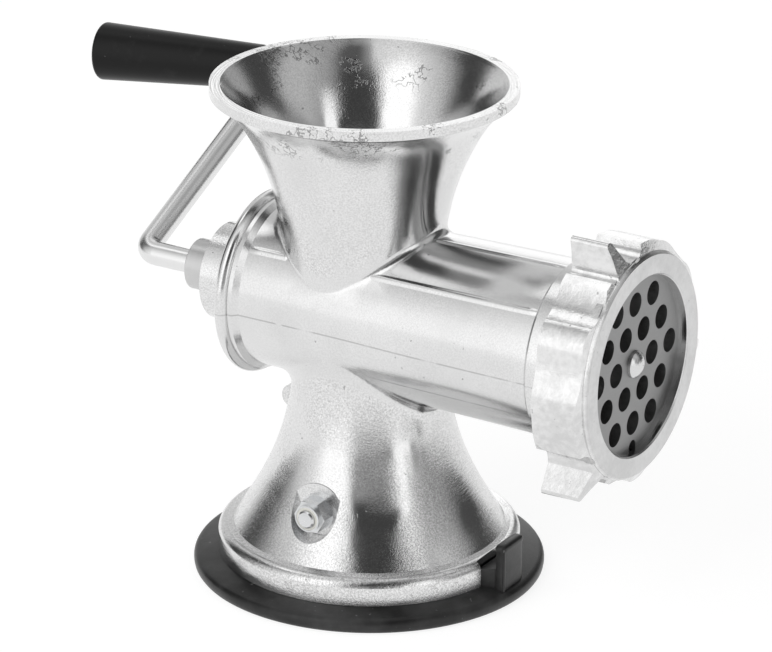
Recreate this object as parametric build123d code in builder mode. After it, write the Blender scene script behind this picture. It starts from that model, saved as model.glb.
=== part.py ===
"""Hand crank grinder with a suction base.

Frame: millimetres, +Z up, origin at the centre of the base on the table. The barrel lies along X with its
outlet at +X, and the lock nut of the base shows on the near side, which is -Y.
"""

import os
from math import cos, radians, sin

from build123d import *

os.makedirs("parts", exist_ok=True)

# ---------------------------------------------------------------- driving sizes
slip = 0.05  # radial clearance of a running fit
seat_gap = 0.3  # clearance between pieces that pass each other
cut_gap = 0.1  # clearance between the knife and the plate

# Barrel
axis_z = 92.4
barrel_rear_wall = 2.3
barrel_front_wall = 4.2
rear_ledge = 12.2
rear_wall = 6.0
bead_wall = 5.9
bead_width = 4.6
step_wall = 4.0
step_width = 1.6
boss_wall = 5.8
boss_length = 14.0
collar_length = 6.5
collar_wall = 5.4
head_length = 16.3
head_wall = 2.6
plate_face_x = 97.8

# Hopper
hopper_x = -2.9
hopper_lean = 2.05
hopper_lean_turn = 121.5
rim_z = 167.5
rim_r = 50.3
rim_land = 3.5
rim_height = 3.2
neck_inset = 1.9
flare_low = 1.5
flare_low_drop = 2.2
flare_mid = 6.5
flare_mid_share = 0.41
flare_bend = 10.3
flare_bend_share = 0.583
flare_high = 15.5
flare_high_share = 0.764
lip_width = 2.4
lip_drop = 1.2
hopper_wall = 2.9

# Column and flange
flange_r = 49.9
flange_z = 6.5
flange_side = 6.2
flange_seat = 5.4
flange_lip = 3.3
flange_lip_rise = 2.7
flange_shelf = 1.8
flange_shelf_rise = 0.6
column_low_r = 37.3
column_low_z = 28.4
column_mid_r = 30.5
column_mid_z = 43.7
column_high = 2.0
column_high_drop = 33.5
column_inset = 2.7
column_wall = 3.2
hollow_drop = 2.9
junction_fillet = 3.0
column_fillet = 5.0

# Plate, its key and the knife
plate_r = 31.0
plate_land = 6.0
plate_thickness = 5.5
plate_hole_r = 4.0
plate_pitch = 11.8
plate_rows = (3, 4, 5, 4, 3)
key_r = 1.9
key_length = 6.0
key_embed = 3.0
key_inset = 2.3
knife_thickness = 3.8
knife_hub_r = 9.0
knife_wings = 4
knife_play = 0.7
knife_root_width = 9.0
knife_tip_width = 5.0

# Ring nut
ring_rear_gap = 1.3
ring_lip = 3.5
ring_cover = 1.2
ring_seat_depth = 1.2
ring_collar_wall = 3.7
ring_deep_wall = 3.4
ring_shallow_wall = 4.7
ring_edge_wall = 5.4
ring_ridge_wall = 5.3
ring_lobe_wall = 6.5
ring_hook_wall = 7.1
ring_lug_wall = 14.6
ring_lug_round = 0.9
ring_lug_side_wall = 9.3
ring_lug_angle = 18.5
ring_foot_angle = 5.0
ring_lug_count = 3
ring_lug_back = 2.2
ring_body_proud = 1.0
ring_front_round = 1.0

# Feed screw and its bearing
journal_r = 8.0
bush_r = 10.5
bush_flange_r = 14.0
bush_flange = 1.5
thrust_washer_r = 13.0
thrust_washer_thickness = 1.2
shank_r = 6.0
worm_root_r = 9.0
worm_play = 0.5
worm_pitch = 24.0
worm_base_width = 6.0
worm_crest_width = 3.0
worm_start = 9.0
worm_to_knife = 4.4
drive_square = 10.0
pin_r = 4.5
pin_dome = 2.2
pin_proud = 3.2

# Crank and grip
rod_r = 4.0
crank_collar_r = 8.5
crank_collar_length = 10.5
rod_depth = 18.0
crank_offset = 20.8
crank_arm = 94.2
crank_raise = 23.5
crank_bend = 4.8
grip_lean = 7.8
grip_start = 6.0
grip_length = 61.4
grip_big_r = 10.0
grip_small_r = 7.6
grip_round = 1.2
grip_recess_r = 7.2
grip_recess = 6.5
retainer_r = 6.2
retainer_thickness = 1.2
cap_thickness = 2.0
grub_r = 2.0
grub_socket_r = 1.0
grub_socket_depth = 2.0

# Suction base
pad_margin = 8.1
pad_slope_drop = 1.5
pad_edge_slope = 1.2
pad_edge_round = 1.0
pad_hub_r = 11.0
pad_hub = 3.0
tab_gap = 2.1
tab_thickness = 3.8
tab_width = 13.5
tab_y = -1.3
tab_rise = 14.5
tab_round = 1.2
notch_depth = 3.0
notch_gap = 2.6
pivot_z = 30.4
bolt_r = 3.0
bolt_head_flats = 10.0
bolt_head = 4.0
bolt_end_y = -41.0
pocket_y = -32.5
pocket_r = 8.25
near_boss_wall = 1.4
washer_r = 6.2
washer_thickness = 1.2
nut_flats = 10.0
nut_height = 4.6
nut_crown_r = 4.5
nut_crown = 1.6
insert_r = 3.9
cam_throw = 2.2
cam_r = 7.0
cam_journal_r = 9.3
cam_near_y = -7.0
cam_step_y = 22.0
cam_square = 10.0
far_boss_r = 10.8
far_boss_y = 38.4
spot_face_r = 14.0
lever_thickness = 4.8
lever_hub_r = 8.5
lever_tip_r = 4.2
lever_tip_x = -53.5
lever_tip_rise = 3.1
lever_washer_r = 7.8
yoke_wall = 3.0
yoke_thickness = 9.0
yoke_play = 0.15
stem_r = 4.0
stem_foot_r = 2.5
stem_plate_r = 18.0
stem_plate_thickness = 2.0
stem_plate_z = 2.6

# ---------------------------------------------------------------- places worked out from them
bore_r = plate_r - plate_land
barrel_rear_r = bore_r + barrel_rear_wall
barrel_front_r = bore_r + barrel_front_wall
bead_r = bore_r + bead_wall
step_r = bore_r + step_wall
boss_r = bush_r + boss_wall
collar_r = bore_r + collar_wall
head_r = plate_r + head_wall
head_x = plate_face_x - head_length
collar_x = head_x - collar_length
plate_rear_x = plate_face_x - plate_thickness

neck_r = barrel_rear_r - neck_inset
flare_low_r = neck_r + flare_low
flare_low_z = axis_z + barrel_rear_r - flare_low_drop
flare_height = rim_z - flare_low_z
flare_mid_r = neck_r + flare_mid
flare_mid_z = flare_low_z + flare_mid_share * flare_height
flare_bend_r = neck_r + flare_bend
flare_bend_z = flare_low_z + flare_bend_share * flare_height
flare_high_r = neck_r + flare_high
flare_high_z = flare_low_z + flare_high_share * flare_height
flare_top_r = rim_r - lip_width

rear_wall_x = hopper_x - flare_low_r - rear_ledge
boss_end_x = rear_wall_x - boss_length
inner_wall_x = rear_wall_x + rear_wall

flange_top_r = flange_r - flange_lip
flange_top_z = flange_z + flange_side + flange_lip_rise
column_foot_r = flange_top_r - flange_shelf
column_foot_z = flange_top_z + flange_shelf_rise
column_top_r = barrel_rear_r - column_inset
column_high_r = column_top_r + column_high
column_high_z = axis_z - column_high_drop
hollow_top_z = column_high_z - hollow_drop

ring_front_x = plate_face_x + ring_lip
ring_rear_x = head_x + ring_rear_gap
ring_lug_front_x = plate_face_x - ring_lug_back
ring_body_front_x = plate_face_x + ring_body_proud
ring_opening_r = plate_r - ring_cover
ring_bore_r = head_r + seat_gap
ring_collar_r = ring_bore_r + ring_collar_wall
ring_deep_r = ring_bore_r + ring_deep_wall
ring_shallow_r = ring_bore_r + ring_shallow_wall
ring_edge_r = ring_bore_r + ring_edge_wall
ring_ridge_r = ring_bore_r + ring_ridge_wall
ring_lobe_r = ring_bore_r + ring_lobe_wall
ring_hook_r = ring_bore_r + ring_hook_wall
ring_lug_r = ring_bore_r + ring_lug_wall
ring_lug_side_r = ring_bore_r + ring_lug_side_wall
head_front_x = plate_face_x - ring_seat_depth - seat_gap
thrust_x = inner_wall_x + bush_flange
shoulder_x = thrust_x + thrust_washer_thickness
crank_collar_x = boss_end_x - seat_gap
shank_end_x = crank_collar_x - crank_collar_length
knife_x = plate_rear_x - cut_gap - knife_thickness
knife_reach = bore_r - knife_play
key_centre_r = plate_r - key_inset
worm_r = bore_r - worm_play
worm_front_x = knife_x - worm_to_knife
pin_end_x = plate_face_x + pin_proud
crank_x = shank_end_x - crank_offset

pad_r = flange_r + pad_margin
pad_slope_r = pad_r - pad_edge_slope
pad_edge_z = flange_z - pad_slope_drop
pad_hub_z = flange_z + pad_hub
tab_x = flange_r + tab_gap
tab_top_z = flange_z + tab_rise
cam_angle = radians(45)
cam_centre = (-cam_throw * cos(cam_angle), cam_throw * sin(cam_angle))
yoke_slot = (2 * (cam_r + cam_throw + seat_gap), 2 * (cam_r + yoke_play))
near_boss_r = pocket_r + near_boss_wall
lever_y = far_boss_y + seat_gap
lever_end_y = lever_y + lever_thickness
pad_lip_z = stem_plate_z + stem_plate_thickness + slip

barrel_axis = Axis((0, 0, axis_z), (1, 0, 0))
barrel_plane = Plane(origin=(0, 0, axis_z), x_dir=(1, 0, 0), z_dir=(0, -1, 0))

# The hopper leans a little, about the point where its centre line meets the barrel's. Its plane holds
# that line as the local y, and counts it from the table as if the hopper stood upright.
hopper_up = Vector(0, 0, 1).rotate(Axis.Y, hopper_lean).rotate(Axis.Z, hopper_lean_turn)
hopper_origin = Vector(hopper_x, 0, axis_z) - hopper_up * axis_z
hopper_out = Vector(1, 0, 0).rotate(Axis.Y, hopper_lean).rotate(Axis.Z, hopper_lean_turn)
hopper_axis = Axis(hopper_origin, hopper_up)
hopper_plane = Plane(origin=hopper_origin, x_dir=hopper_out, z_dir=hopper_out.cross(hopper_up))

raise_angle = radians(crank_raise)
lean_angle = radians(grip_lean)
arm_direction = Vector(0, cos(raise_angle), sin(raise_angle))
grip_direction = Vector(-cos(lean_angle), 0, 0) - arm_direction * sin(lean_angle)
first_bend = Vector(crank_x, 0, axis_z)
second_bend = first_bend + arm_direction * crank_arm
grip_axis = Axis(second_bend, grip_direction)
grip_plane = Plane(origin=second_bend, x_dir=grip_direction, z_dir=grip_direction.cross(arm_direction))


def across(x):
    """Plane square to the barrel at x, its local x along +Y and its local y along +Z."""
    return Plane(origin=(x, 0, axis_z), x_dir=(0, 1, 0), z_dir=(1, 0, 0))


def at_pivot(y):
    """Plane square to the base's pivot at y, facing +Y, its local x along +X and its local y downwards."""
    return Plane(origin=(0, y, pivot_z), x_dir=(1, 0, 0), z_dir=(0, 1, 0))


def polar(angle, radius):
    """Point on a plane square to the barrel; the angle runs from +Z towards the near side."""
    return (-radius * sin(radians(angle)), radius * cos(radians(angle)))


def finish(piece, name):
    """Name a piece and write its file."""
    piece.part.label = name
    export_step(piece.part, f"parts/{name}.step")


# ---------------------------------------------------------------- body casting
with BuildPart() as body_casting:
    # Barrel with its rear bead, rear boss and threaded head
    with BuildSketch(barrel_plane):
        with BuildLine():
            bead_x = rear_wall_x + bead_width
            bead_low_r = bead_r - bead_width / 2
            Polyline(
                (head_front_x, 0),
                (head_front_x, head_r),
                (head_x, head_r),
                (head_x, collar_r),
                (collar_x, collar_r),
                (collar_x - (collar_r - barrel_front_r), barrel_front_r),
                (bead_x + step_width + (step_r - barrel_rear_r), barrel_rear_r),
                (bead_x + step_width, step_r),
                (bead_x, step_r),
                (bead_x, bead_low_r),
            )
            ThreePointArc(
                (bead_x, bead_low_r),
                (bead_x - bead_width / 2, bead_r),
                (rear_wall_x, bead_low_r),
            )
            Polyline(
                (rear_wall_x, bead_low_r),
                (rear_wall_x, boss_r),
                (boss_end_x, boss_r),
                (boss_end_x, 0),
                (head_front_x, 0),
            )
        make_face()
    revolve(axis=barrel_axis)
    # Hopper
    with BuildSketch(hopper_plane):
        with BuildLine():
            lip_z = rim_z - rim_height - lip_drop
            Spline(
                (neck_r, axis_z),
                (flare_low_r, flare_low_z),
                (flare_mid_r, flare_mid_z),
                (flare_bend_r, flare_bend_z),
                (flare_high_r, flare_high_z),
                (flare_top_r, lip_z),
            )
            Polyline(
                (flare_top_r, lip_z),
                (rim_r, rim_z - rim_height),
                (rim_r, rim_z),
                (0, rim_z),
                (0, axis_z),
                (neck_r, axis_z),
            )
        make_face()
    revolve(axis=hopper_axis)
    # Column and flange
    with BuildSketch(Plane.XZ):
        with BuildLine():
            flange_top = flange_z + flange_side
            Polyline((0, axis_z), (0, flange_z), (flange_r, flange_z), (flange_r, flange_top))
            RadiusArc((flange_r, flange_top), (flange_top_r, flange_top_z), -(flange_r - flange_top_r))
            Line((flange_top_r, flange_top_z), (column_foot_r, column_foot_z))
            Spline(
                (column_foot_r, column_foot_z),
                (column_low_r, column_low_z),
                (column_mid_r, column_mid_z),
                (column_high_r, column_high_z),
                (column_top_r, axis_z),
            )
            Line((column_top_r, axis_z), (0, axis_z))
        make_face()
    revolve(axis=Axis.Z)
    # Soft edges where the column and the hopper grow out of the barrel
    seams = body_casting.edges().filter_by(GeomType.BSPLINE)
    fillet(seams.filter_by(lambda edge: edge.center().Z < axis_z), column_fillet)
    seams = body_casting.edges().filter_by(GeomType.BSPLINE)
    fillet(seams.filter_by(lambda edge: axis_z < edge.center().Z < axis_z + barrel_front_r), junction_fillet)
    # Hollow of the column, open at the bottom
    with BuildSketch(Plane.XZ):
        with BuildLine():
            Polyline(
                (column_high_r - column_wall, hollow_top_z),
                (0, hollow_top_z),
                (0, flange_z),
                (flange_r - flange_seat, flange_z),
            )
            Spline(
                (flange_r - flange_seat, flange_z),
                (column_foot_r - column_wall, column_foot_z),
                (column_low_r - column_wall, column_low_z),
                (column_mid_r - column_wall, column_mid_z),
                (column_high_r - column_wall, hollow_top_z),
            )
        make_face()
    revolve(axis=Axis.Z, mode=Mode.SUBTRACT)
    # Bosses of the base's pivot: a long one inside the near wall, a wide one on the far wall
    with BuildSketch(at_pivot(pocket_y)):
        Circle(near_boss_r)
    extrude(amount=cam_near_y - seat_gap - pocket_y)
    with BuildSketch(at_pivot(cam_step_y + seat_gap)):
        Circle(far_boss_r)
    extrude(amount=far_boss_y - cam_step_y - seat_gap)
    # Spot face on the flared wall, where the lever turns
    with BuildSketch(at_pivot(far_boss_y)):
        Circle(spot_face_r)
    extrude(amount=flange_r - far_boss_y, mode=Mode.SUBTRACT)
    # Inside of the hopper, down into the barrel
    with BuildSketch(hopper_plane):
        with BuildLine():
            Spline(
                (neck_r - hopper_wall, axis_z),
                (flare_low_r - hopper_wall, flare_low_z),
                (flare_mid_r - hopper_wall, flare_mid_z + hopper_wall / 2),
                (flare_bend_r - hopper_wall, flare_bend_z + hopper_wall / 2),
                (flare_high_r - hopper_wall, flare_high_z + hopper_wall / 2),
                (rim_r - rim_land, rim_z),
            )
            Polyline(
                (rim_r - rim_land, rim_z),
                (0, rim_z),
                (0, axis_z),
                (neck_r - hopper_wall, axis_z),
            )
        make_face()
    revolve(axis=hopper_axis, mode=Mode.SUBTRACT)
    # Bore of the barrel, the plate's seat and the bore of the rear bush
    with BuildSketch(barrel_plane):
        with BuildLine():
            Polyline(
                (boss_end_x, 0),
                (boss_end_x, bush_r + slip),
                (inner_wall_x, bush_r + slip),
                (inner_wall_x, bore_r),
                (plate_rear_x, bore_r),
                (plate_rear_x, plate_r + slip),
                (head_front_x, plate_r + slip),
                (head_front_x, 0),
                close=True,
            )
        make_face()
    revolve(axis=barrel_axis, mode=Mode.SUBTRACT)
    # Blind hole of the plate's key, at the bottom of the plate's seat
    with BuildSketch(across(plate_rear_x)):
        with Locations((0, -key_centre_r)):
            Circle(key_r + slip)
    extrude(amount=-key_embed, mode=Mode.SUBTRACT)
    # Pocket and bolt hole on the near side, journal bore on the far side
    with BuildSketch(at_pivot(pocket_y)):
        Circle(pocket_r)
        with Locations((0, -pocket_r)):
            Rectangle(2 * pocket_r, 2 * pocket_r)
    extrude(amount=-2 * pocket_r, mode=Mode.SUBTRACT)
    with BuildSketch(at_pivot(pocket_y)):
        Circle(bolt_r + slip)
    extrude(amount=-pocket_y, mode=Mode.SUBTRACT)
    with BuildSketch(at_pivot(cam_step_y)):
        Circle(cam_journal_r + slip)
    extrude(amount=far_boss_y - cam_step_y, mode=Mode.SUBTRACT)
    # Notch of the flange for the pad's pull tab
    with BuildSketch(Plane.XY.offset(flange_z)):
        with Locations((flange_r - notch_depth, tab_y)):
            Rectangle(flange_r, tab_width + 2 * notch_gap, align=(Align.MIN, Align.CENTER))
    extrude(amount=column_foot_z - flange_z, mode=Mode.SUBTRACT)
finish(body_casting, "body_casting")

# ---------------------------------------------------------------- rear bearing
# Flanged bush, pushed into the rear boss from inside the barrel
with BuildPart() as rear_bush:
    with BuildSketch(barrel_plane):
        with BuildLine():
            Polyline(
                (boss_end_x, journal_r + slip),
                (boss_end_x, bush_r),
                (inner_wall_x, bush_r),
                (inner_wall_x, bush_flange_r),
                (thrust_x, bush_flange_r),
                (thrust_x, journal_r + slip),
                close=True,
            )
        make_face()
    revolve(axis=barrel_axis)
finish(rear_bush, "rear_bush")

# Washer that takes the feed screw's push
with BuildPart() as thrust_washer:
    with BuildSketch(across(thrust_x)):
        Circle(thrust_washer_r)
        Circle(journal_r + slip, mode=Mode.SUBTRACT)
    extrude(amount=thrust_washer_thickness)
finish(thrust_washer, "thrust_washer")

# ---------------------------------------------------------------- feed screw
with BuildPart() as feed_screw:
    # Shank, journal, root and front pin with its domed end
    with BuildSketch(barrel_plane):
        with BuildLine():
            Polyline(
                (pin_end_x, 0),
                (shank_end_x, 0),
                (shank_end_x, shank_r),
                (boss_end_x - slip, shank_r),
                (boss_end_x - slip, journal_r),
                (shoulder_x, journal_r),
                (shoulder_x, thrust_washer_r),
                (shoulder_x + worm_base_width, worm_root_r),
                (worm_front_x, worm_root_r),
                (worm_front_x, pin_r),
                (pin_end_x - pin_dome, pin_r),
            )
            dome_r = (pin_r**2 + pin_dome**2) / (2 * pin_dome)
            RadiusArc((pin_end_x - pin_dome, pin_r), (pin_end_x, 0), dome_r)
        make_face()
    revolve(axis=barrel_axis)
    # Square that drives the knife
    with BuildSketch(across(worm_front_x)):
        Rectangle(drive_square, drive_square)
    extrude(amount=plate_rear_x - cut_gap - worm_front_x)
    # Worm, one helical flight that grows out of the root
    worm_rear_x = shoulder_x + worm_start
    worm_mid_r = (worm_root_r + worm_r) / 2
    with BuildLine() as worm_path:
        Helix(
            pitch=worm_pitch,
            height=worm_front_x - worm_rear_x - worm_base_width,
            radius=worm_mid_r,
            center=(worm_rear_x, 0, axis_z),
            direction=(1, 0, 0),
        )
    start = worm_path.line @ 0
    outward = start - Vector(worm_rear_x, 0, axis_z)
    with BuildSketch(Plane(origin=start, x_dir=outward, z_dir=worm_path.line % 0)):
        with BuildLine():
            flight_in = worm_root_r - worm_mid_r - rod_r / 2
            flight_out = worm_r - worm_mid_r
            Polyline(
                (flight_in, -worm_base_width / 2),
                (flight_out, -worm_crest_width / 2),
                (flight_out, worm_crest_width / 2),
                (flight_in, worm_base_width / 2),
                close=True,
            )
        make_face()
    sweep(path=worm_path.line, is_frenet=True)
    # Bore that takes the crank rod, and the grub screw's hole
    with BuildSketch(across(shank_end_x)):
        Circle(rod_r + slip)
    extrude(amount=rod_depth, mode=Mode.SUBTRACT)
    with BuildSketch(Plane.XZ.offset(-shank_r)):
        with Locations(((crank_collar_x + shank_end_x) / 2, axis_z)):
            Circle(grub_r + slip)
    extrude(amount=shank_r, mode=Mode.SUBTRACT)
finish(feed_screw, "feed_screw")

# ---------------------------------------------------------------- crank
# Turned collar on the feed screw's shank
with BuildPart() as crank_collar:
    with BuildSketch(across(shank_end_x)):
        Circle(crank_collar_r)
        Circle(shank_r + slip, mode=Mode.SUBTRACT)
    extrude(amount=crank_collar_length)
    fillet(crank_collar.edges().group_by(Axis.X)[0].sort_by(SortBy.RADIUS)[-1], seat_gap)
    with BuildSketch(Plane.XZ.offset(-crank_collar_r)):
        with Locations(((crank_collar_x + shank_end_x) / 2, axis_z)):
            Circle(grub_r + slip)
    extrude(amount=crank_collar_r, mode=Mode.SUBTRACT)
finish(crank_collar, "crank_collar")

# Grub screw on the far side of the collar, bearing on the rod
with BuildPart() as collar_grub_screw:
    with BuildSketch(Plane.XZ.offset(-rod_r)):
        with Locations(((crank_collar_x + shank_end_x) / 2, axis_z)):
            Circle(grub_r)
    extrude(amount=-(crank_collar_r - rod_r - 2 * seat_gap))
    with BuildSketch(Plane.XZ.offset(-(crank_collar_r - 2 * seat_gap))):
        with Locations(((crank_collar_x + shank_end_x) / 2, axis_z)):
            RegularPolygon(grub_socket_r, 6)
    extrude(amount=grub_socket_depth, mode=Mode.SUBTRACT)
finish(collar_grub_screw, "collar_grub_screw")

# Round rod, bent twice
rod_end = second_bend + grip_direction * (grip_start + grip_length - cap_thickness - retainer_thickness)
with BuildPart() as crank_rod:
    with BuildLine() as rod_path:
        FilletPolyline(
            (shank_end_x + rod_depth, 0, axis_z),
            first_bend,
            second_bend,
            rod_end,
            radius=crank_bend,
        )
    with BuildSketch(Plane(origin=rod_path.line @ 0, z_dir=rod_path.line % 0)):
        Circle(rod_r)
    sweep(path=rod_path.line)
finish(crank_rod, "crank_rod")

# ---------------------------------------------------------------- grip
with BuildPart() as grip:
    with BuildSketch(grip_plane):
        with BuildLine():
            grip_end = grip_start + grip_length
            recess_start = grip_end - grip_recess
            Polyline(
                (grip_start, rod_r + 2 * slip),
                (grip_start, grip_small_r),
                (grip_end, grip_big_r),
                (grip_end, grip_recess_r),
                (recess_start, grip_recess_r),
                (recess_start, rod_r + 2 * slip),
                close=True,
            )
        make_face()
    revolve(axis=grip_axis)
    ends = grip.edges().filter_by(GeomType.CIRCLE).sort_by(SortBy.RADIUS)
    fillet(ends[-1], grip_round)
    small_end = grip.edges().filter_by(GeomType.CIRCLE)
    fillet(small_end.filter_by(lambda edge: abs(edge.radius - grip_small_r) < slip), grip_round)
finish(grip, "grip")

# Cap pushed into the grip's outer end
with BuildPart() as grip_end_cap:
    with BuildSketch(grip_plane):
        with BuildLine():
            cap_end = grip_start + grip_length
            Polyline(
                (cap_end - cap_thickness + 2 * slip, 0),
                (cap_end - cap_thickness + 2 * slip, grip_recess_r),
                (cap_end - slip, grip_recess_r),
                (cap_end - slip, 0),
                close=True,
            )
        make_face()
    revolve(axis=grip_axis)
finish(grip_end_cap, "grip_end_cap")

# Push-on washer at the rod's end, inside the grip's recess
with BuildPart() as grip_retainer:
    with BuildSketch(grip_plane):
        with BuildLine():
            retainer_x = grip_start + grip_length - grip_recess + slip
            Polyline(
                (retainer_x, rod_r),
                (retainer_x, retainer_r),
                (retainer_x + retainer_thickness, retainer_r),
                (retainer_x + retainer_thickness, rod_r),
                close=True,
            )
        make_face()
    revolve(axis=grip_axis)
finish(grip_retainer, "grip_retainer")

# ---------------------------------------------------------------- knife
with BuildPart() as cutter_knife:
    with BuildSketch(across(knife_x)):
        Circle(knife_hub_r)
        with PolarLocations(0, knife_wings):
            Polygon(
                (0, -knife_root_width / 2),
                (knife_reach, -knife_root_width / 2),
                (knife_reach, knife_tip_width - knife_root_width / 2),
                (0, knife_root_width / 2),
                align=None,
            )
        Rectangle(drive_square + 2 * slip, drive_square + 2 * slip, mode=Mode.SUBTRACT)
    extrude(amount=knife_thickness)
finish(cutter_knife, "cutter_knife")

# ---------------------------------------------------------------- grinding plate
with BuildPart() as grinding_plate:
    with BuildSketch(across(plate_rear_x)):
        Circle(plate_r)
        # Rows of holes on a triangular grid; the middle one holds the feed screw's pin
        for row, holes in enumerate(plate_rows):
            row_z = (row - (len(plate_rows) - 1) / 2) * plate_pitch * sin(radians(60))
            for hole in range(holes):
                hole_y = (hole - (holes - 1) / 2) * plate_pitch
                radius = pin_r + slip if abs(hole_y) + abs(row_z) < plate_hole_r else plate_hole_r
                with Locations((hole_y, row_z)):
                    Circle(radius, mode=Mode.SUBTRACT)
        # Notch that fits over the key
        with Locations((0, -plate_r)):
            Rectangle(2 * (key_r + seat_gap), 2 * (plate_r - key_centre_r), mode=Mode.SUBTRACT)
        with Locations((0, -key_centre_r)):
            Circle(key_r + seat_gap, mode=Mode.SUBTRACT)
    extrude(amount=plate_thickness)
finish(grinding_plate, "grinding_plate")

# Pin that stops the plate from turning
with BuildPart() as plate_key:
    with BuildSketch(across(plate_rear_x - key_embed)):
        with Locations((0, -key_centre_r)):
            Circle(key_r)
    extrude(amount=key_length)
finish(plate_key, "plate_key")

# ---------------------------------------------------------------- ring nut
# One third of the outline, as the angle and radius of each stretch's middle and end. A stretch
# without a middle is straight. It starts at the foot of a tall lug and ends before the next one.
lug_step = 360 / ring_lug_count
lug_corner_r = ring_lug_r - ring_lug_round
ring_outline = (
    (None, (-1.7, lug_corner_r)),
    ((0, ring_lug_r), (1.7, lug_corner_r)),
    ((2.6, ring_lug_side_r), (4.4, ring_edge_r)),
    ((7, ring_deep_r), (10, ring_edge_r)),
    ((12.5, ring_ridge_r), (15, ring_edge_r)),
    ((25, ring_deep_r), (35, ring_edge_r)),
    ((43, ring_lobe_r), (51, ring_edge_r)),
    ((59, ring_shallow_r), (67, ring_edge_r)),
    ((74, ring_lobe_r), (82, ring_lobe_r)),
    ((91, ring_hook_r), (100, ring_hook_r)),
    (None, (101, ring_edge_r)),
    ((108, ring_deep_r), (lug_step - ring_foot_angle, ring_edge_r)),
)
with BuildPart() as ring_nut:
    with BuildSketch(across(ring_rear_x)):
        with BuildLine():
            for lug in range(ring_lug_count):
                turn = ring_lug_angle + lug * lug_step
                last_angle, last_r = ring_outline[-1][1]
                here = polar(turn + last_angle - lug_step, last_r)
                for middle, end in ring_outline:
                    there = polar(turn + end[0], end[1])
                    if middle is None:
                        Line(here, there)
                    else:
                        ThreePointArc(here, polar(turn + middle[0], middle[1]), there)
                    here = there
        make_face()
    extrude(amount=ring_front_x - ring_rear_x)
    # Turned front: lugs and lobes slope back from the round collar
    with BuildSketch(barrel_plane):
        with BuildLine():
            Polyline(
                (ring_rear_x, 0),
                (ring_rear_x, ring_lug_r + ring_front_round),
                (ring_lug_front_x, ring_lug_r + ring_front_round),
                (ring_body_front_x, ring_lobe_r),
                (ring_body_front_x + ring_front_round, ring_collar_r),
                (ring_front_x - ring_front_round, ring_collar_r),
                (ring_front_x, ring_collar_r - ring_front_round),
                (ring_front_x, 0),
                close=True,
            )
        make_face()
    revolve(axis=barrel_axis, mode=Mode.INTERSECT)
    # Collar that the valleys would cut into
    with BuildSketch(across(ring_body_front_x - 2 * ring_front_round)):
        Circle(ring_collar_r)
    extrude(amount=ring_front_x - ring_body_front_x)
    # Threaded bore, the plate's seat and the opening
    with BuildSketch(barrel_plane):
        with BuildLine():
            Polyline(
                (ring_rear_x, 0),
                (ring_rear_x, ring_bore_r),
                (plate_face_x - ring_seat_depth, ring_bore_r),
                (plate_face_x - ring_seat_depth, plate_r + seat_gap),
                (plate_face_x, plate_r + seat_gap),
                (plate_face_x, ring_opening_r),
                (ring_front_x - ring_front_round / 2, ring_opening_r),
                (ring_front_x, ring_opening_r + ring_front_round / 2),
                (ring_front_x, 0),
                close=True,
            )
        make_face()
    revolve(axis=barrel_axis, mode=Mode.SUBTRACT)
finish(ring_nut, "ring_nut")

# ---------------------------------------------------------------- suction pad
with BuildPart() as rubber_suction_pad:
    with BuildSketch(Plane.XZ):
        with BuildLine():
            Line((0, 0), (pad_r - pad_edge_round, 0))
            ThreePointArc(
                (pad_r - pad_edge_round, 0),
                (pad_r, pad_edge_z / 2),
                (pad_slope_r, pad_edge_z),
            )
            Polyline(
                (pad_slope_r, pad_edge_z),
                (flange_r + seat_gap, flange_z),
                (pad_hub_r + pad_edge_round, flange_z),
                (pad_hub_r, pad_hub_z),
                (stem_r + slip, pad_hub_z),
                (stem_r + slip, pad_lip_z),
                (stem_plate_r + slip, pad_lip_z),
                (stem_plate_r + slip, stem_plate_z - slip),
                (0, stem_plate_z - slip),
                (0, 0),
            )
        make_face()
    revolve(axis=Axis.Z)
    # Web that fills the flange's notch and carries the pull tab
    with BuildSketch(Plane.XY.offset(pad_edge_z - pad_edge_round)):
        with Locations((flange_r - notch_depth + seat_gap, tab_y)):
            outwards = (Align.MIN, Align.CENTER)
            Rectangle(notch_depth - 2 * seat_gap, tab_width + 2 * (notch_gap - seat_gap), align=outwards)
            Rectangle(tab_x - flange_r + notch_depth, tab_width - 2 * tab_round, align=outwards)
    extrude(amount=flange_z + flange_side - pad_edge_z + pad_edge_round)
    # Pull tab
    with BuildSketch(Plane.XY.offset(pad_edge_z - pad_edge_round)):
        with Locations((tab_x + tab_thickness / 2, tab_y)):
            RectangleRounded(tab_thickness, tab_width, tab_round)
    extrude(amount=tab_top_z - pad_edge_z + pad_edge_round)
    fillet(rubber_suction_pad.faces().sort_by(Axis.Z)[-1].edges(), tab_round)
finish(rubber_suction_pad, "rubber_suction_pad")

# ---------------------------------------------------------------- suction stem
# Yoke that the eccentric lifts, with its stem going down into the pad
with BuildPart() as suction_stem:
    yoke_centre = (0, cam_centre[1])
    yoke_size = (yoke_slot[0] + 2 * yoke_wall, yoke_slot[1] + 2 * yoke_wall)
    with BuildSketch(at_pivot(-yoke_thickness / 2)):
        with Locations(yoke_centre):
            RectangleRounded(*yoke_size, yoke_wall)
            Rectangle(*yoke_slot, mode=Mode.SUBTRACT)
    extrude(amount=yoke_thickness)
    yoke_bottom = pivot_z - cam_centre[1] - yoke_size[1] / 2
    with BuildSketch(Plane.XY.offset(stem_plate_z + stem_plate_thickness)):
        Circle(stem_r)
    extrude(amount=yoke_bottom + yoke_wall / 2 - stem_plate_z - stem_plate_thickness)
    with BuildSketch(Plane.XY.offset(stem_plate_z)):
        Circle(stem_foot_r)
    extrude(amount=stem_plate_thickness)
finish(suction_stem, "suction_stem")

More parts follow.
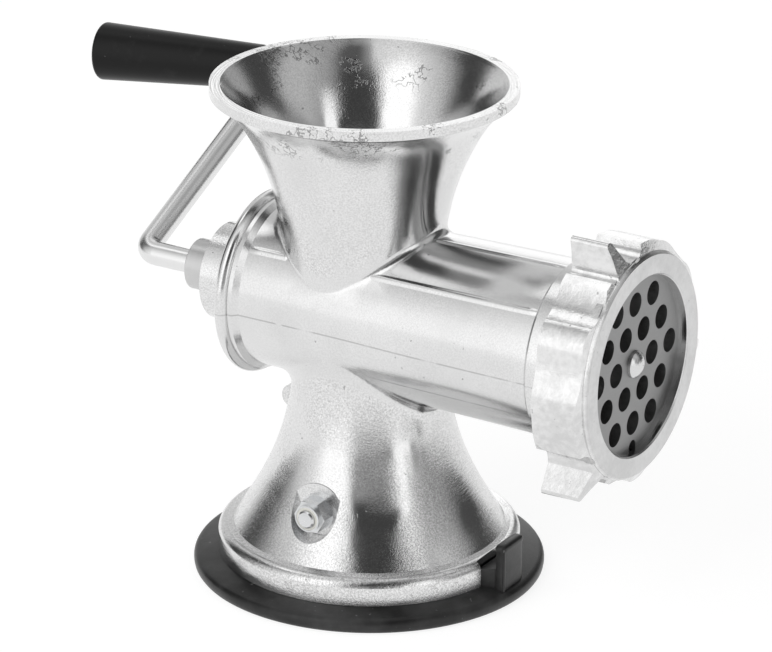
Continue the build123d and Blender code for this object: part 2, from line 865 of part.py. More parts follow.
# Steel disc moulded into the pad, riveted to the stem's foot
with BuildPart() as stem_plate:
    with BuildSketch(Plane.XY.offset(stem_plate_z)):
        Circle(stem_plate_r)
        Circle(stem_foot_r + slip / 2, mode=Mode.SUBTRACT)
    extrude(amount=stem_plate_thickness)
finish(stem_plate, "stem_plate")

# ---------------------------------------------------------------- eccentric and lever
with BuildPart() as cam_sleeve:
    with BuildSketch(at_pivot(cam_near_y)):
        with Locations(cam_centre):
            Circle(cam_r)
    extrude(amount=cam_step_y + seat_gap - cam_near_y)
    with BuildSketch(at_pivot(cam_step_y + seat_gap)):
        Circle(cam_journal_r)
    extrude(amount=lever_y - cam_step_y - seat_gap)
    with BuildSketch(at_pivot(lever_y)):
        Rectangle(cam_square, cam_square)
    extrude(amount=lever_thickness)
    with BuildSketch(at_pivot(cam_near_y)):
        Circle(bolt_r + slip)
    extrude(amount=lever_end_y - cam_near_y, mode=Mode.SUBTRACT)
finish(cam_sleeve, "cam_sleeve")

with BuildPart() as suction_lever:
    with BuildSketch(at_pivot(lever_y)):
        Circle(lever_hub_r)
        with Locations((lever_tip_x, -lever_tip_rise)):
            Circle(lever_tip_r)
        Polygon(
            (0, -lever_hub_r),
            (lever_tip_x, -lever_tip_rise - lever_tip_r),
            (lever_tip_x, -lever_tip_rise + lever_tip_r),
            (0, lever_hub_r),
            align=None,
        )
        Rectangle(cam_square + 2 * slip, cam_square + 2 * slip, mode=Mode.SUBTRACT)
    extrude(amount=lever_thickness)
finish(suction_lever, "suction_lever")

# ---------------------------------------------------------------- pivot bolt and what is on it
with BuildPart() as lever_washer:
    with BuildSketch(at_pivot(lever_end_y)):
        Circle(lever_washer_r)
        Circle(bolt_r + slip, mode=Mode.SUBTRACT)
    extrude(amount=washer_thickness)
finish(lever_washer, "lever_washer")

with BuildPart() as pivot_bolt:
    with BuildSketch(at_pivot(bolt_end_y)):
        Circle(bolt_r)
    extrude(amount=lever_end_y + washer_thickness - bolt_end_y)
    with BuildSketch(at_pivot(lever_end_y + washer_thickness)):
        RegularPolygon(bolt_head_flats / 2, 6, major_radius=False)
    extrude(amount=bolt_head)
    chamfer(pivot_bolt.faces().sort_by(Axis.Y)[0].edges(), bolt_r / 6)
finish(pivot_bolt, "pivot_bolt")

with BuildPart() as nut_washer:
    with BuildSketch(at_pivot(pocket_y)):
        Circle(washer_r)
        Circle(bolt_r + slip, mode=Mode.SUBTRACT)
    extrude(amount=-washer_thickness)
finish(nut_washer, "nut_washer")

nut_y = pocket_y - washer_thickness
with BuildPart() as lock_nut:
    with BuildSketch(at_pivot(nut_y)):
        RegularPolygon(nut_flats / 2, 6, major_radius=False)
    extrude(amount=-nut_height)
    with BuildSketch(at_pivot(nut_y - nut_height)):
        Circle(nut_crown_r)
    extrude(amount=-nut_crown)
    with BuildSketch(at_pivot(nut_y)):
        Circle(bolt_r + slip)
    extrude(amount=-nut_height - nut_crown, mode=Mode.SUBTRACT)
    with BuildSketch(at_pivot(nut_y - nut_height)):
        Circle(insert_r + slip)
    extrude(amount=-nut_crown, mode=Mode.SUBTRACT)
finish(lock_nut, "lock_nut")

# Locking ring in the nut's crown
with BuildPart() as lock_nut_insert:
    with BuildSketch(at_pivot(nut_y - nut_height)):
        Circle(insert_r)
        Circle(bolt_r + slip, mode=Mode.SUBTRACT)
    extrude(amount=-nut_crown + 2 * slip)
finish(lock_nut_insert, "lock_nut_insert")
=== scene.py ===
"""A hand crank grinder of polished cast aluminium on a black rubber suction base.

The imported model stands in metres, +Z up, with its origin under the middle of the base. The barrel runs along X
with the plate at +X, and the lock nut of the base shows on the near side, which is -Y.
"""

import math

import bmesh
import bpy
from mathutils import Matrix, Vector


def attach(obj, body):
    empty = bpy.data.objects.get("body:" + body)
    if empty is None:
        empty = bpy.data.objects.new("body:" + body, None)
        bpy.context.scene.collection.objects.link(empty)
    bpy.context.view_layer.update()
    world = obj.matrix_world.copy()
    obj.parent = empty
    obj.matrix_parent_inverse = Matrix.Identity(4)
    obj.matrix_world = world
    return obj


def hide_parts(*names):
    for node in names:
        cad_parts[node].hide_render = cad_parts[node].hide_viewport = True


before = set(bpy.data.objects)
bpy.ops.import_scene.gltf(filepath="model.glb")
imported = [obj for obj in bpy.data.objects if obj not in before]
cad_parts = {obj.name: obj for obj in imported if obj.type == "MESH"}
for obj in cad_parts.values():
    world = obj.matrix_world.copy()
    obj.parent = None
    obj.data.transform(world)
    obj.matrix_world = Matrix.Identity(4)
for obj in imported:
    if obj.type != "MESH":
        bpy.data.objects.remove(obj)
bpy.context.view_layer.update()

# ---------------------------------------------------------------- studio
# A photographer's table: a white sheet under the grinder, a large soft lamp on the near left, pale walls,
# and dark gaps where the camera and its operator stand. The polished metal mirrors all of it.


class Wire:
    """A socket of a node tree, so that sums on sockets are written as sums."""

    def __init__(self, tree, socket=None):
        self.tree = tree
        self.socket = socket

    def node(self, kind, settings=None, sockets=None, out=0):
        """Any node: its settings first, then the values or wires of its sockets."""
        node = self.tree.nodes.new(kind)
        for name, value in (settings or {}).items():
            setattr(node, name, value)
        for name, value in (sockets or {}).items():
            if isinstance(value, Wire):
                self.tree.links.new(value.socket, node.inputs[name])
            else:
                node.inputs[name].default_value = value
        return Wire(self.tree, node.outputs[out] if len(node.outputs) else None)

    def maths(self, operation, *others):
        """A Math node on this wire and the others."""
        return self.node("ShaderNodeMath", {"operation": operation}, dict(enumerate((self, *others))))

    def __add__(self, other):
        return self.maths("ADD", other)

    __radd__ = __add__

    def __mul__(self, other):
        return self.maths("MULTIPLY", other)

    __rmul__ = __mul__

    def __sub__(self, other):
        return self.maths("SUBTRACT", other)

    def __rsub__(self, other):
        return self * -1 + other

    def __truediv__(self, other):
        return self.maths("DIVIDE", other)

    def __rtruediv__(self, other):
        return self**-1 * other

    def __pow__(self, other):
        return self.maths("POWER", other)

    def rise(self, low, high):
        """From 0 at low to 1 at high, eased, whichever of the two is the larger."""
        settings = {"interpolation_type": "SMOOTHSTEP", "clamp": True}
        return self.node("ShaderNodeMapRange", settings, {0: self, 1: low, 2: high})

    def within(self, middle, reach, blur):
        """1 where this is within reach of the middle, and 0 beyond the blur."""
        return (self - middle).maths("ABSOLUTE").rise(reach + blur, reach)

    def part(self, axis):
        """One number of a vector."""
        return self.node("ShaderNodeSeparateXYZ", {}, {0: self}, "XYZ".index(axis))

    def joined(self, x, y, z):
        """The vector of three numbers."""
        return self.node("ShaderNodeCombineXYZ", {}, {0: x, 1: y, 2: z})

    def mix(self, low, high):
        """The grey or colour low where this is 0, and high where it is 1."""
        low, high = ((end, end, end, 1) if isinstance(end, (int, float)) else end for end in (low, high))
        return self.node("ShaderNodeMix", {"data_type": "RGBA"}, {0: self, 6: low, 7: high}, 2)

    def noise(self, vector, scale, detail=3, roughness=0.5):
        """Soft noise of a number of waves per metre."""
        sockets = {"Vector": vector, "Scale": scale, "Detail": detail, "Roughness": roughness}
        return self.node("ShaderNodeTexNoise", {}, sockets)

    def ramp(self, stops):
        """The greys of the stops, each a place from 0 to 1 and a grey."""
        node = self.tree.nodes.new("ShaderNodeValToRGB")
        while len(node.color_ramp.elements) < len(stops):
            node.color_ramp.elements.new(0.5)
        for element, (place, grey) in zip(node.color_ramp.elements, stops):
            element.position = place
            element.color = (grey, grey, grey, 1)
        self.tree.links.new(self.socket, node.inputs[0])
        return Wire(self.tree, node.outputs[0])


eye = Vector((1.002539, -1.689826, 0.893152))
eye_right = Vector((0.85973396, 0.51068765, 0.00745996))
eye_up = Vector((-0.20033256, 0.32374887, 0.92469105))
eye_back = eye_right.cross(eye_up)
film_width = 36
film_pixels = 772
focal_pixels = 6504

camera = bpy.data.objects.new("camera", bpy.data.cameras.new("camera"))
bpy.context.scene.collection.objects.link(camera)
camera.matrix_world = Matrix((eye_right, eye_up, eye_back)).transposed().to_4x4()
camera.location = eye
camera.data.sensor_width = film_width
camera.data.lens = film_width * focal_pixels / film_pixels
camera.data.clip_end = 20
bpy.context.scene.camera = camera
bpy.context.scene.view_settings.view_transform = "Standard"

world = bpy.data.worlds.new("studio")
bpy.context.scene.world = world
world.use_nodes = True
world.node_tree.nodes.clear()
walls = Wire(world.node_tree)
way = walls.node("ShaderNodeTexCoord")
# Share of a full turn from -X, counted towards -Y, +X and +Y
turn = way.part("Y").maths("ARCTAN2", way.part("X")) / (2 * math.pi) + 0.5
# What stands round the grinder, as greys at those shares: below 24 degrees up, to 57 degrees, and above
low_walls = turn.ramp([
    (0.00, 0.07), (0.03, 0.12), (0.06, 0.42), (0.085, 0.75), (0.145, 1.00), (0.165, 1.25), (0.185, 1.40),
    (0.262, 1.40), (0.280, 0.36), (0.41, 0.34), (0.425, 1.25), (0.475, 1.25), (0.49, 0.40), (0.595, 0.32),
    (0.615, 0.08), (0.695, 0.08), (0.715, 0.42), (0.75, 0.40), (0.765, 0.16), (0.783, 0.18), (0.793, 1.35),
    (0.833, 1.35), (0.847, 0.75), (0.950, 0.72), (0.972, 0.10), (0.99, 0.06),
])
eye_level = turn.ramp([
    (0.00, 0.05), (0.028, 0.07), (0.055, 0.40), (0.083, 0.62), (0.140, 0.85), (0.160, 1.10), (0.180, 1.45),
    (0.268, 1.50), (0.288, 0.12), (0.305, 0.06), (0.42, 0.06), (0.437, 0.30), (0.467, 0.40), (0.50, 0.46),
    (0.54, 0.60), (0.61, 0.56), (0.628, 0.07), (0.706, 0.07), (0.728, 0.42), (0.778, 0.42), (0.797, 0.95),
    (0.828, 0.95), (0.85, 0.70), (0.93, 0.62), (0.953, 0.34), (0.97, 0.09),
])
high_walls = turn.ramp([
    (0.00, 0.34), (0.07, 0.42), (0.11, 0.72), (0.16, 0.95), (0.29, 0.90), (0.31, 0.36), (0.36, 0.10),
    (0.435, 0.11), (0.47, 0.42), (0.74, 0.42), (0.79, 0.80), (0.83, 0.80), (0.87, 0.36), (0.97, 0.30),
])
height = way.part("Z")
room = height.rise(0.36, 0.44).mix(low_walls, eye_level)
room = height.rise(0.80, 0.88).mix(room, high_walls)
ceiling_grey = 0.62
room = height.rise(0.95, 0.99).mix(room, ceiling_grey)
# A round light high over the handle, and a narrow window to the camera's right
spot_way = (-0.47, 0.07, 0.88)
spot_grey = 1.4
from_spot = way.node("ShaderNodeVectorMath", {"operation": "DISTANCE"}, {0: way, 1: spot_way}, "Value")
room = from_spot.rise(0.25, 0.13).mix(room, spot_grey)
window_grey = 1.3
window = turn.within(0.454, 0.020, 0.006) * height.rise(0.67, 0.60)
room = window.mix(room, window_grey)
to_camera = walls.node("ShaderNodeLightPath", out="Is Camera Ray")
shown = to_camera.mix(room, 1.0)
background = walls.node("ShaderNodeBackground", {}, {"Color": shown, "Strength": 1.0})
walls.node("ShaderNodeOutputWorld", {}, {"Surface": background})

floor_reach = 4.0
corners = [(x * floor_reach, y * floor_reach, 0) for x, y in ((-1, -1), (1, -1), (1, 1), (-1, 1))]
floor_mesh = bpy.data.meshes.new("floor")
floor_mesh.from_pydata(corners, [], [(0, 1, 2, 3)])
floor = bpy.data.objects.new("floor", floor_mesh)
bpy.context.scene.collection.objects.link(floor)


def material(name):
    """A new material, and a wire to start its nodes from."""
    made = bpy.data.materials.new(name)
    made.use_nodes = True
    made.node_tree.nodes.clear()
    return made, Wire(made.node_tree)


# The floor takes the grinder's shadow, and looks as white as the sheet in the metal and to the camera
sheet, paper = material("white_sheet")
glow_share = 0.72
lit = paper.node("ShaderNodeBsdfDiffuse", {}, {"Color": (0.88, 0.88, 0.88, 1)})
bright = paper.node("ShaderNodeEmission", {}, {"Color": (1, 1, 1, 1), "Strength": 1.18})
to_camera = paper.node("ShaderNodeLightPath", out="Is Camera Ray")
to_metal = paper.node("ShaderNodeLightPath", out="Is Glossy Ray")
to_glass = paper.node("ShaderNodeLightPath", out="Is Transmission Ray")
seen = to_camera.maths("MAXIMUM", to_metal).maths("MAXIMUM", to_glass)
glow = paper.node("ShaderNodeMixShader", {}, {0: seen * glow_share, 1: lit, 2: bright})
paper.node("ShaderNodeOutputMaterial", {}, {"Surface": glow})
floor_mesh.materials.append(sheet)

soft_lamp = bpy.data.objects.new("soft_lamp", bpy.data.lights.new("soft_lamp", "AREA"))
bpy.context.scene.collection.objects.link(soft_lamp)
soft_lamp.location = (-0.38, -1.40, 1.22)
soft_lamp.rotation_euler = (Vector((0, 0, 0.09)) - soft_lamp.location).to_track_quat("-Z", "Y").to_euler()
soft_lamp.data.size = 1.2
soft_lamp.data.energy = 8.0
soft_lamp.visible_glossy = False

# ---------------------------------------------------------------- body casting
# One hollow casting of aluminium alloy: hopper, barrel, column and flange. It is tumbled and buffed, so it
# is bright with a sandy grain, a parting line along each side of the barrel painted dark as shade, and squiggled
# nicks at its edges.

barrel_z = 0.0924
hopper_x = -0.0029


def surface(wire, colour, roughness, metal, normal, shine=0.5):
    """The material's one shader and its output."""
    sockets = {
        "Metallic": metal, "Specular IOR Level": shine,
        "Base Color": colour, "Roughness": roughness, "Normal": normal,
    }
    shader = wire.node("ShaderNodeBsdfPrincipled", {}, sockets)
    wire.node("ShaderNodeOutputMaterial", {}, {"Surface": shader})


def relief(wire, height, depth):
    """The normal of a surface that stands out by a height times a depth in metres."""
    return wire.node("ShaderNodeBump", {}, {"Strength": 1.0, "Distance": depth, "Height": height})


def wear(node, made):
    """Gives a CAD node its material."""
    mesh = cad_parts[node].data
    mesh.materials.clear()
    mesh.materials.append(made)


casting, wire = material("buffed_casting")
place = wire.node("ShaderNodeTexCoord", out="Object")
x, y, z = (place.part(axis) for axis in "XYZ")
from_barrel = (y * y + (z - barrel_z) ** 2) ** 0.5
on_barrel = from_barrel.rise(0.0318, 0.0300) * x.rise(-0.0430, -0.0400)
from_hopper = ((x - hopper_x) ** 2 + y * y) ** 0.5
side = (y * -1).maths("ARCTAN2", x)
sand = wire.noise(place, 1750, 3, 0.75)
cloud = wire.noise(place, 34, 3)
rim_turn = y.maths("ARCTAN2", x - hopper_x) * 2
lathe_marks = wire.joined(rim_turn, z * 1500, from_hopper * 1500)
rim_lines = wire.noise(lathe_marks, 1.0, 2) * z.rise(0.1655, 0.1665)
arcs = wire.noise(wire.joined(side * 5, z * 1500, 0.0), 1.0, 3, 0.6)
arcs = arcs * (1 - on_barrel) * side.within(-0.35, 0.45, 0.3)
strokes = wire.noise(wire.joined(x * 30, y * 1100, z * 1100), 1.0, 2, 0.5) * on_barrel
ripple = wire.noise(place, 14, 1)
waver = (ripple - 0.5) * 0.0012
# The parting line and the web line are painted dark: a painted shade for the shade in their hairline grooves
parting = (z + waver).within(barrel_z - 0.0022, 0.00010, 0.00030)
web_line = (z + waver).within(barrel_z - 0.0147, 0.00008, 0.00025) * x.rise(0.010, 0.020)
seam_shade = (parting + web_line) * on_barrel * wire.noise(place, 130, 2).rise(0.30, 0.48)
# Squiggled hairline nicks, in a few patches at the rim and the flange
edges = z.rise(0.150, 0.158).maths("MAXIMUM", z.within(0.0125, 0.0040, 0.001) * 0.35)
squiggles = wire.noise(place, 330, 2, 0.6).within(0.5, 0.014, 0.022)
nicks = squiggles * wire.noise(place, 70, 2).rise(0.57, 0.61) * edges
pits = wire.noise(place, 520, 2, 0.5).rise(0.735, 0.775)
# The painted shade of the two lines darkens the colour, together with the real nicks and pits
marks = (seam_shade * 0.45 + nicks * 0.75 + pits * 0.6).maths("MINIMUM", 1.0)
tone = (cloud * 0.65 + sand * 0.35).rise(0.30, 0.70)
speckle = sand.rise(0.36, 0.64)
sandy = (1 - on_barrel * 0.80) * (1 - z.rise(0.108, 0.128) * 0.45) * wire.noise(place, 55, 2).rise(0.25, 0.60)
bare_metal = (sandy * 0.75).mix(tone.mix(0.66, 0.77), speckle.mix(0.52, 0.86))
colour = marks.mix(bare_metal, 0.22)
roughness = cloud * 0.08 + sand * sandy * 0.10 + arcs * 0.1 + on_barrel * 0.10 + 0.05
bumps = sand * sandy * 1.25 + rim_lines * 2.0 + arcs * 0.6 + strokes * 0.20 - marks * 1.0 + ripple * 3.0
surface(wire, colour, roughness, 1.0, relief(wire, bumps, 0.000055))


def seamless(node, name, made, body):
    """A copy of a CAD node whose shading runs on across the seams that its surfaces close at."""
    merge_digits = 7
    same_surface = 0.990  # Cosine of the widest turn that counts as a seam and not an edge
    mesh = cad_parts[node].data.copy()
    spots = {}
    for corner in mesh.loops:
        spot = tuple(round(c, merge_digits) for c in mesh.vertices[corner.vertex_index].co)
        spots.setdefault(spot, []).append(corner.index)
    normals = [corner.vector.copy() for corner in mesh.corner_normals]
    eased = list(normals)
    for corners in spots.values():
        for corner in corners:
            near = [normals[other] for other in corners if normals[other].dot(normals[corner]) > same_surface]
            eased[corner] = sum(near, Vector()).normalized()
    mesh.normals_split_custom_set(eased)
    mesh.materials.clear()
    mesh.materials.append(made)
    piece = bpy.data.objects.new(name, mesh)
    bpy.context.scene.collection.objects.link(piece)
    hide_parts(node)
    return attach(piece, body)


casting_copy = seamless("body_casting", "casting", casting, "base")
bpy.context.view_layer.update()


def skin(name, rings, made, body, wrap=False):
    """A closed mesh through rings of points, capped at both ends or joined end to start."""
    count = len(rings[0])
    points = [point for ring in rings for point in ring]
    spans = len(rings) if wrap else len(rings) - 1
    faces = []
    for span in range(spans):
        here = span * count
        there = (span + 1) % len(rings) * count
        faces += [(here + k, here + (k + 1) % count, there + (k + 1) % count, there + k) for k in range(count)]
    if not wrap:
        faces += [tuple(range(count)), tuple(range(len(points) - count, len(points)))]
    mesh = bpy.data.meshes.new(name)
    mesh.from_pydata(points, [], faces)
    shell = bmesh.new()
    shell.from_mesh(mesh)
    bmesh.ops.recalc_face_normals(shell, faces=shell.faces)
    shell.to_mesh(mesh)
    shell.free()
    mesh.shade_smooth()
    mesh.set_sharp_from_angle(angle=math.radians(40))
    mesh.materials.append(made)
    piece = bpy.data.objects.new(name, mesh)
    bpy.context.scene.collection.objects.link(piece)
    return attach(piece, body)


# Lower wall of the lock nut's pocket, from the pocket's floor out to the flared skin
pocket_z = 0.0304
pocket_floor_y = -0.0327
pocket_r = 0.00828
pocket_wall = 0.0012
pocket_steps = 40
under_skin = 0.0009
outside_y = -0.08
rings = []
for step in range(pocket_steps + 1):
    angle = math.radians(180 + 180 * step / pocket_steps)
    ahead, up = math.cos(angle), math.sin(angle)
    middle_r = pocket_r + pocket_wall / 2
    start = Vector((middle_r * ahead, outside_y, pocket_z + middle_r * up))
    skin_point = casting_copy.ray_cast(start, Vector((0, 1, 0)))[1]
    mouth_y = skin_point.y + under_skin
    outline = (
        (pocket_r, pocket_floor_y), (pocket_r, mouth_y),
        (pocket_r + pocket_wall, mouth_y), (pocket_r + pocket_wall, pocket_floor_y),
    )
    rings.append([(reach * ahead, depth, pocket_z + reach * up) for reach, depth in outline])
skin("pocket_wall", rings, casting, "base")

# Raised lines that the mould leaves on the barrel: one along the top and one on each shoulder. The barrel
# tapers, so its radius is known at two places along X.
barrel_rear_x, barrel_rear_r = -0.0350, 0.0273
barrel_front_x, barrel_front_r = 0.0750, 0.0292
line_width = 0.0028
line_height = 0.00034
line_proud = 0.00002
line_sunk = 0.00005
line_root = 0.0004
line_steps = 32
half_steps = 6
for name, tilt, start, end in (
    ("mould_line_top", 5, 0.0225, 0.0745),
    ("mould_line_near", 47, 0.0085, 0.0745),
    ("mould_line_near_rear", 47, -0.0345, -0.0180),
    ("mould_line_far", -47, 0.0085, 0.0745),
    ("mould_line_far_rear", -47, -0.0345, -0.0180),
):
    rings = []
    for step in range(line_steps + 1):
        here = start + (end - start) * step / line_steps
        share = (here - barrel_rear_x) / (barrel_front_x - barrel_rear_x)
        radius = barrel_rear_r + (barrel_front_r - barrel_rear_r) * share
        ease = min(1, (here - start) / 0.004, (end - here) / 0.002)
        outline = []
        for half_step in range(-half_steps, half_steps + 1):
            across = half_step / half_steps
            crown = line_height * ease * math.cos(across * math.pi / 2) ** 1.5
            outline.append((across, crown + line_proud - line_sunk * abs(across)))
        outline += [(0.9, -line_root), (-0.9, -line_root)]
        ring = []
        for across, rise in outline:
            angle = math.radians(tilt) + across * line_width / 2 / radius
            reach = radius + rise
            ring.append((here, -reach * math.sin(angle), barrel_z + reach * math.cos(angle)))
        rings.append(ring)
    skin(name, rings, casting, "base")

# ---------------------------------------------------------------- rear bush and thrust washer
# A turned bronze bush is pressed into the rear boss, with a moulded nylon washer in front of it that takes
# the push of the feed screw. The lock nut's insert is the same natural nylon.
bronze, wire = material("turned_bronze")
place = wire.node("ShaderNodeTexCoord", out="Object")
turned = wire.noise(place, 900, 2)
surface(
    wire,
    turned.mix((0.50, 0.33, 0.14, 1), (0.66, 0.47, 0.22, 1)),
    turned * 0.2 + 0.2,
    1.0,
    relief(wire, turned, 0.00002),
)
wear("rear_bush", bronze)

nylon, wire = material("natural_nylon")
place = wire.node("ShaderNodeTexCoord", out="Object")
cloudy = wire.noise(place, 300, 2)
surface(
    wire,
    cloudy.mix((0.80, 0.79, 0.73, 1), (0.88, 0.87, 0.82, 1)),
    cloudy * 0.15 + 0.4,
    0.0,
    relief(wire, cloudy, 0.00003),
)
wear("thrust_washer", nylon)
wear("lock_nut_insert", nylon)

# ---------------------------------------------------------------- feed screw
# Cast in the same alloy as the body, with a right-hand flight. Only its shoulders and its front pin are
# turned, and the pin's domed end shines in the middle of the plate.
screw_metal, wire = material("turned_casting")
place = wire.node("ShaderNodeTexCoord", out="Object")
y, z = (place.part(axis) for axis in "YZ")
from_axis = (y * y + (z - barrel_z) ** 2) ** 0.5
tool_rings = (from_axis * 9000).maths("SINE") * 0.5 + 0.5
skin_grain = wire.noise(place, 900, 3, 0.6)
blotch = wire.noise(place, 60, 2)
surface(
    wire,
    blotch.mix(0.62, 0.76),
    skin_grain * 0.18 + tool_rings * 0.05 + 0.12,
    1.0,
    relief(wire, skin_grain + tool_rings * 0.3, 0.00004),
)
wear("feed_screw", screw_metal)

# ---------------------------------------------------------------- knife, plate and key
# Hardened tool steel, ground flat on both faces. The plate is an even satin grey with faint grinding marks,
# and its holes are drilled right through.
ground, wire = material("ground_steel")
place = wire.node("ShaderNodeTexCoord", out="Object")
x, y, z = (place.part(axis) for axis in "XYZ")
fine = wire.noise(place, 1800, 3, 0.6)
blotch = wire.noise(place, 70, 3)
pass_marks = wire.noise(wire.joined(x, y * 90, z * 2200), 1.0, 2)
surface(
    wire,
    (blotch * 0.6 + fine * 0.4).mix(0.27, 0.36),
    fine * 0.10 + pass_marks * 0.08 + blotch * 0.06 + 0.33,
    1.0,
    relief(wire, fine * 0.6 + pass_marks, 0.00001),
)
for node in ("cutter_knife", "grinding_plate", "plate_key"):
    wear(node, ground)

# ---------------------------------------------------------------- ring nut
# Cast ring with three tall lugs and low lobes for the fingers, tumbled all over. Its face is then turned
# flat and its mouth is bored, which leaves fine rings inside.
tumbled, wire = material("tumbled_casting")
place = wire.node("ShaderNodeTexCoord", out="Object")
x, y, z = (place.part(axis) for axis in "XYZ")
from_axis = (y * y + (z - barrel_z) ** 2) ** 0.5
peel = wire.noise(place, 380, 3, 0.6)
sand = wire.noise(place, 1500, 3, 0.65)
cloud = wire.noise(place, 46, 3)
in_bore = from_axis.rise(0.0325, 0.0300)
bore_rings = wire.noise(wire.joined(x * 2600, y * 20, z * 20), 1.0, 2) * in_bore
on_face = x.rise(0.1005, 0.1011)
marks = wire.noise(place, 560, 2, 0.5).rise(0.71, 0.76) * 0.6
tone = (cloud * 0.5 + peel * 0.5).rise(0.32, 0.68)
colour = marks.mix(on_face.mix(tone.mix(0.62, 0.80), tone.mix(0.56, 0.68)), 0.30)
surface(
    wire,
    colour,
    peel * 0.08 + cloud * 0.10 + on_face * 0.14 + 0.07,
    1.0,
    relief(wire, peel * 1.3 * (1 - in_bore) + sand * 0.5 + bore_rings * 1.0 - marks, 0.00006),
)
wear("ring_nut", tumbled)

# ---------------------------------------------------------------- crank collar and rod
# Chromed steel. The rod is bent twice and brazed into a turned collar, which a grub screw holds on the feed
# screw's tail. The plating is bright with a slight haze.
chrome, wire = material("satin_chrome")
place = wire.node("ShaderNodeTexCoord", out="Object")
haze = wire.noise(place, 60, 3)
fine = wire.noise(place, 2200, 2)
surface(
    wire,
    haze.mix(0.74, 0.84),
    haze * 0.12 + fine * 0.08 + 0.16,
    1.0,
    relief(wire, fine, 0.000012),
)
wear("crank_rod", chrome)

collar_metal, wire = material("turned_collar")
place = wire.node("ShaderNodeTexCoord", out="Object")
x, y, z = (place.part(axis) for axis in "XYZ")
turning = wire.noise(wire.joined(x * 2400, y * 24, z * 24), 1.0, 2)
haze = wire.noise(place, 110, 3)
surface(
    wire,
    haze.mix(0.52, 0.66),
    haze * 0.10 + turning * 0.10 + 0.24,
    1.0,
    relief(wire, turning, 0.00003),
)
wear("crank_collar", collar_metal)

# ---------------------------------------------------------------- fasteners
# Steel screws, nuts and washers, cold formed and with rolled threads. They are plated with bright zinc, which
# is a little cloudy. The lock nut and the bolt hold the lever's eccentric in the base.
zinc, wire = material("bright_zinc")
place = wire.node("ShaderNodeTexCoord", out="Object")
haze = wire.noise(place, 260, 3)
fine = wire.noise(place, 1900, 2)
surface(
    wire,
    haze.mix((0.58, 0.59, 0.60, 1), (0.76, 0.765, 0.77, 1)),
    haze * 0.2 + 0.14,
    1.0,
    relief(wire, haze + fine * 0.5, 0.00002),
)
for node in ("collar_grub_screw", "grip_retainer", "pivot_bolt", "nut_washer", "lock_nut", "lever_washer"):
    wear(node, zinc)

# ---------------------------------------------------------------- grip
# Tapered sleeve moulded in black plastic, which turns on the rod between its bend and a push-on washer. It
# is satin, with faint scuffs and a little dust.
plastic, wire = material("black_plastic")
place = wire.node("ShaderNodeTexCoord", out="Object")
fine = wire.noise(place, 1500, 3, 0.6)
scuff = wire.noise(place, 90, 4, 0.6).rise(0.55, 0.80)
dust = wire.noise(place, 700, 2).rise(0.745, 0.775)
surface(
    wire,
    (scuff * 0.35 + dust).maths("MINIMUM", 1.0).mix(0.005, 0.045),
    fine * 0.10 + scuff * 0.12 + 0.30,
    0.0,
    relief(wire, fine + dust, 0.000012),
    0.22,
)
wear("grip", plastic)
wear("grip_end_cap", plastic)

# ---------------------------------------------------------------- lever and eccentric
# Die-cast lever, tumbled and left bare like the body. It sits on the square of its eccentric sleeve, which
# lifts the stem when the lever is turned.
wear("suction_lever", casting)
wear("cam_sleeve", casting)

# ---------------------------------------------------------------- suction stem and plate
# Turned steel stem with a slotted yoke for the eccentric, riveted to a pressed plate that the rubber is
# moulded round. Both are zinc plated.
wear("suction_stem", zinc)
wear("stem_plate", zinc)

# ---------------------------------------------------------------- rubber suction pad
# Compression-moulded black rubber: a dished disc with a thin sealing lip, a sloped top that the flange sits
# on, and an upright pull tab with rolled edges. It is satin, with a bloom and specks of dust, and its light grey
# is partly a painted sheen. Its centre is lifted by the stem, so it is a piece of its own.
rubber, wire = material("black_rubber")
place = wire.node("ShaderNodeTexCoord", out="Object")
fine = wire.noise(place, 1300, 3, 0.6)
bloom_and_sheen = wire.noise(place, 45, 4, 0.6)
dust = wire.noise(place, 640, 2).rise(0.715, 0.755)
# The bloom and the dust lighten the black. This light grey is partly real bloom and dust, and partly a painted
# sheen
surface(
    wire,
    (bloom_and_sheen.rise(0.35, 0.75) * 0.36 + dust).maths("MINIMUM", 1.0).mix(0.007, 0.125),
    fine * 0.12 + bloom_and_sheen * 0.20 + 0.22,
    0.0,
    relief(wire, fine + dust * 0.8, 0.00003),
    0.4,
)

# Half sections in millimetres. The disc stays on the table and has the dish, lip, edge and slope. The centre
# rises with the stem, and has the hub and the hollow round the stem's plate.
disc_section = (
    (20.0, 0.8), (38.0, 0.55), (50.0, 0.25), (54.5, 0.03), (55.6, 0.0), (56.6, 0.12), (57.3, 0.5),
    (57.8, 1.2), (58.0, 2.2), (58.0, 3.0), (57.85, 3.7), (57.45, 4.4), (56.8, 4.85), (55.9, 5.1), (53.4, 5.6),
    (50.6, 6.25), (49.4, 6.45), (30.0, 6.45), (20.0, 6.45),
)
centre_section = (
    (0.0, 0.9), (19.95, 0.8), (19.95, 6.45), (12.2, 6.45), (11.3, 6.8), (11.0, 7.6), (10.95, 9.0),
    (10.5, 9.45), (4.4, 9.45), (4.1, 9.2), (4.1, 4.7), (18.0, 4.7), (18.1, 4.5), (18.1, 2.7), (18.0, 2.5),
    (0.0, 2.5),
)
mm = 0.001
turns = 144
innermost = 0.02
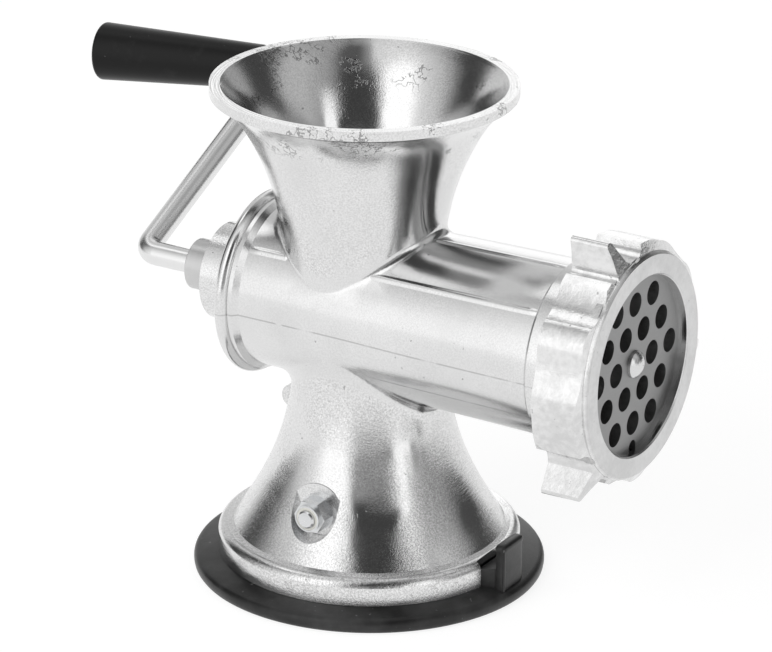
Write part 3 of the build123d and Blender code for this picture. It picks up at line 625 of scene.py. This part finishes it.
for name, section, body_name in (("moulded_pad", disc_section, "base"), ("pad_centre", centre_section, "stem")):
    rings = []
    for step in range(turns):
        angle = 2 * math.pi * step / turns
        ring = []
        for reach, rise in section:
            reach = max(reach, innermost)
            ring.append((mm * reach * math.cos(angle), mm * reach * math.sin(angle), mm * rise))
        rings.append(ring)
    pad = skin(name, rings, rubber, body_name, wrap=True)
    if name == "moulded_pad":
        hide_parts("rubber_suction_pad")

# The tab, in millimetres: a root in the flange's notch, and a strap that leans its rolled edges outwards
tab_y = -0.0013
root_inner, root_outer = 47.3, 52.6
root_half, root_outer_half = 9.0, 6.0
root_corner = 0.8
root = []
for rise, draw in ((4.0, 0.0), (11.6, 0.0), (12.3, 0.15), (12.65, 0.6)):
    inner, half = root_inner + draw, root_half - draw
    outline = (
        (inner, -half + root_corner), (inner + root_corner, -half), (root_outer, -root_outer_half),
        (root_outer, root_outer_half), (inner + root_corner, half), (inner, half - root_corner),
    )
    root.append([(mm * reach, mm * across + tab_y, mm * rise) for reach, across in outline])
skin("tab_root", root, rubber, "base")

strap_reach = 53.9
strap_half_thick = 1.72
strap_half_wide = 6.75
circle = [(math.cos(math.radians(a)), math.sin(math.radians(a))) for a in range(0, 360, 15)]
strap = []
for rise, draw, swell in (
    (4.2, 0.0, 0.0), (12.0, 0.0, 0.0), (18.4, 0.1, 0.0), (19.0, 0.0, 0.22), (20.0, 0.0, 0.30),
    (20.6, 0.35, 0.10), (21.0, 1.1, -0.5),
):
    ring = []
    for out, over in circle:
        reach = strap_reach + (strap_half_thick + swell) * math.copysign(abs(out) ** 0.45, out)
        across = (strap_half_wide - draw) * math.copysign(abs(over) ** 0.30, over)
        ring.append((mm * reach, mm * across + tab_y, mm * rise))
    strap.append(ring)
skin("tab_strap", strap, rubber, "base")

fold_x = 0.0554
fold_y = tab_y - 0.0058
fold_flatness = 0.55
fold = []
for rise, size in ((5.0, 0.75), (17.6, 0.70), (19.6, 0.60), (20.4, 0.25)):
    fold.append([
        (fold_x + mm * size * fold_flatness * out, fold_y + mm * size * over, mm * rise) for out, over in circle
    ])
skin("tab_fold", fold, rubber, "base")
